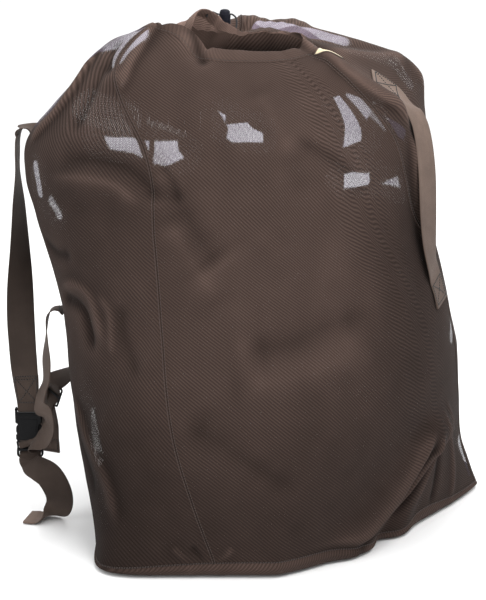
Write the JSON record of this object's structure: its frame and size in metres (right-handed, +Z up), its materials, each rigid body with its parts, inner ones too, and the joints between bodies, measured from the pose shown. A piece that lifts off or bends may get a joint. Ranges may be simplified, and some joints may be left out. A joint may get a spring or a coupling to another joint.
{
  "type": "mesh decoy bag",
  "caption": "Tall mesh sack, filled and standing open, with a drawstring mouth, webbing shoulder straps and a side-release buckle.",
  "frame": {"origin": "on the underside of the flat bottom, below the middle of the bag's mouth side to side", "axes": "+Z up, +X to the right of someone who faces the bag's front, +Y towards its back"},
  "size_m": [0.8937, 0.5062, 0.9462],
  "materials": {
    "mesh_cloth": "matte open mesh",
    "strap_web": "matte woven webbing",
    "label_cloth": "matte",
    "hard_plastic": "fine satin",
    "cord_black": "matte braid"
  },
  "bodies": {
    "root": {"front_panel": "mesh_cloth", "back_panel": "mesh_cloth", "left_panel": "mesh_cloth", "bottom_panel": "mesh_cloth", "mouth_hem": "mesh_cloth", "draw_cord": "cord_black", "cord_lock": "hard_plastic", "side_label": "label_cloth", "right_strap": "strap_web", "left_strap": "strap_web", "buckle_socket": "hard_plastic", "buckle_plug": "hard_plastic", "lower_strap": "strap_web", "anchor_strap": "strap_web", "strap_slider": "hard_plastic"}
  },
  "joints": []
}
